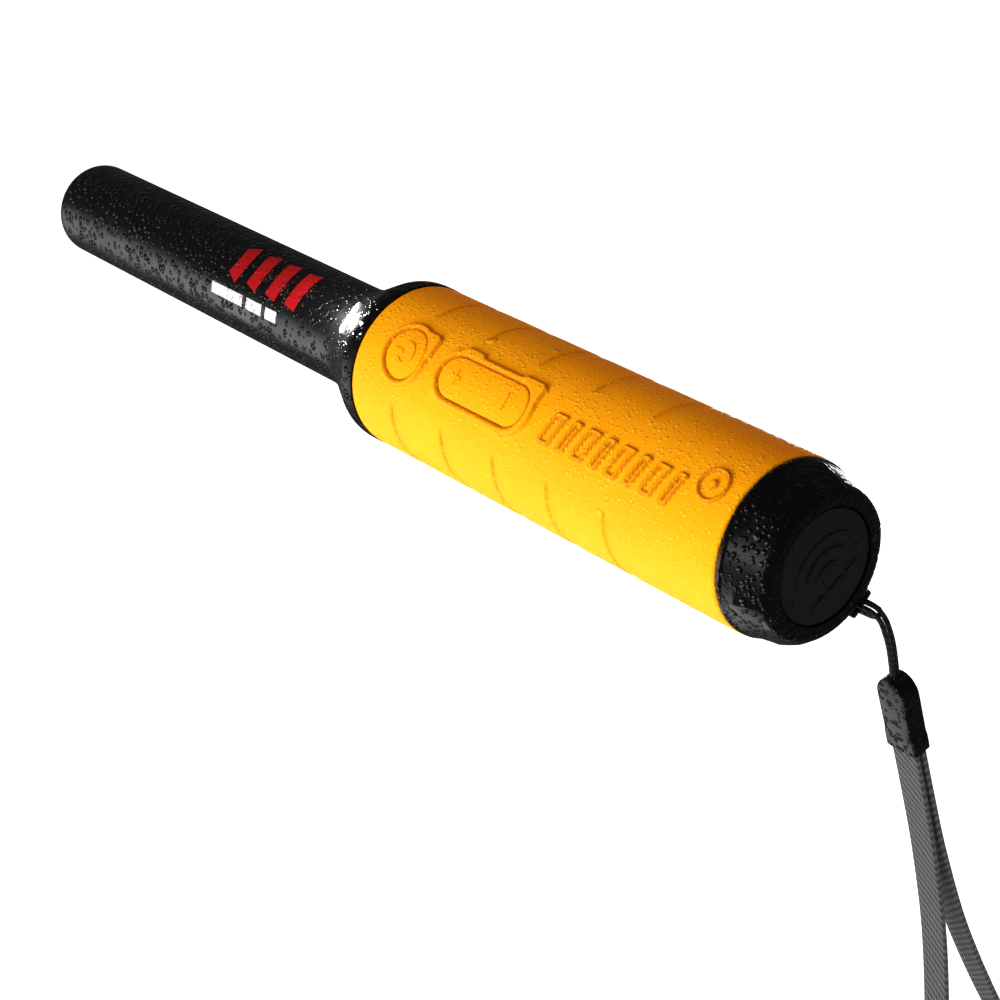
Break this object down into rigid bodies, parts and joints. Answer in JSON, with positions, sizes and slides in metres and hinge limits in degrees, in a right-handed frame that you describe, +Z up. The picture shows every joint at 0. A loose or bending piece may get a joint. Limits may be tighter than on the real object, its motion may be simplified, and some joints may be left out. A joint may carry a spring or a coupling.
{
  "type": "pinpointer probe",
  "caption": "Hand-held metal-detecting pinpointer: a slim black sensing tube, a rubber-sleeved grip with push keys and a lamp, and a screw-on battery cap with a wrist strap.",
  "frame": {"origin": "middle of the grip on the probe's axis", "axes": "+X along the probe from its sensing tip to its battery cap, +Z up as it is held, with the keys turned 33.5 degrees from +Z towards -Y"},
  "size_m": [0.2597, 0.0425, 0.2101],
  "materials": {
    "black_abs": "fine satin moulded ABS",
    "yellow_rubber": "soft satin moulded thermoplastic elastomer",
    "cap_black": "polished moulded ABS",
    "seal_rubber": "matt nitrile rubber",
    "clear_lens": "clear moulded polycarbonate",
    "white_plastic": "natural moulded nylon",
    "ferrite": "dull sintered ferrite",
    "copper_winding": "enamelled copper wire",
    "board_green": "solder-masked glass-epoxy board",
    "bright_steel": "bright plated steel",
    "foam": "closed-cell foam",
    "battery_jacket": "printed steel jacket",
    "strap_cord": "braided nylon cord",
    "strap_webbing": "woven nylon webbing"
  },
  "bodies": {
    "probe": {"nose_tube": "black_abs", "main_housing": "black_abs", "tube_gasket": "seal_rubber", "tube_lock_ring": "white_plastic", "grip_sleeve": "yellow_rubber", "lamp_lens": "clear_lens", "lamp_led": "white_plastic", "tip_pad": "foam", "ferrite_core": "ferrite", "coil_bobbin": "white_plastic", "receive_coil_front": "copper_winding", "transmit_coil": "copper_winding", "receive_coil_rear": "copper_winding", "core_spacer": "white_plastic", "coil_leads": "seal_rubber", "chassis": "white_plastic", "main_board": "board_green", "power_switch": "bright_steel", "plus_switch": "bright_steel", "minus_switch": "bright_steel", "lead_connector": "white_plastic", "microcontroller": "seal_rubber", "driver_chip": "seal_rubber", "tank_capacitor": "bright_steel", "board_screw_front": "bright_steel", "board_screw_rear": "bright_steel", "sounder": "seal_rubber", "sounder_disc": "bright_steel", "motor_can": "bright_steel", "motor_shaft": "bright_steel", "motor_clip": "white_plastic", "battery_plate": "white_plastic", "snap_contact_plus": "bright_steel", "snap_contact_minus": "bright_steel", "battery": "battery_jacket"},
    "power_key": {"power_key": "yellow_rubber"},
    "level_key": {"level_key": "yellow_rubber"},
    "vibration_weight": {"vibration_weight": "bright_steel"},
    "cap_thread": {"cap_o_ring": "seal_rubber"},
    "battery_cap": {"battery_cap": "cap_black", "cap_badge": "cap_black", "battery_pad": "foam"},
    "strap_cord": {"strap_cord": "strap_cord"},
    "wrist_strap": {"strap_fitting": "seal_rubber", "wrist_webbing": "strap_webbing"}
  },
  "joints": [
    {"name": "power_press", "type": "slide", "parent": "probe", "child": "power_key", "axis": [0, 0.5519, -0.8339], "range_m": [0, 0.0004], "stiffness_N_per_m": 2000},
    {"name": "level_rock", "type": "hinge", "parent": "probe", "child": "level_key", "pos_m": [-0.01493, -0.00933, 0.01409], "axis": [0, 0.8339, 0.5519], "range_deg": [-2, 2], "stiffness_Nm_per_rad": 0.4},
    {"name": "motor_spin", "type": "hinge", "parent": "probe", "child": "vibration_weight", "pos_m": [-0.02303, 0.00331, -0.005], "axis": [1, 0, 0], "continuous": true},
    {"name": "cap_lift", "type": "slide", "parent": "probe", "child": "cap_thread", "axis": [1, 0, 0], "range_m": [0, 0.004]},
    {"name": "cap_turn", "type": "hinge", "parent": "cap_thread", "child": "battery_cap", "pos_m": [0.06098, 0, 0], "axis": [1, 0, 0], "range_deg": [0, 360]},
    {"name": "cord_swing", "type": "hinge", "parent": "battery_cap", "child": "strap_cord", "pos_m": [0.06098, 0.0079, -0.0155], "axis": [1, 0, 0], "range_deg": [-15, 15]},
    {"name": "strap_swing", "type": "hinge", "parent": "strap_cord", "child": "wrist_strap", "pos_m": [0.06698, 0.0079, -0.0302], "axis": [0, 1, 0], "range_deg": [-35, 35]}
  ],
  "couplings": [
    {"joint": "cap_lift", "follows": "cap_turn", "m_per_rad": 0.00063662}
  ]
}
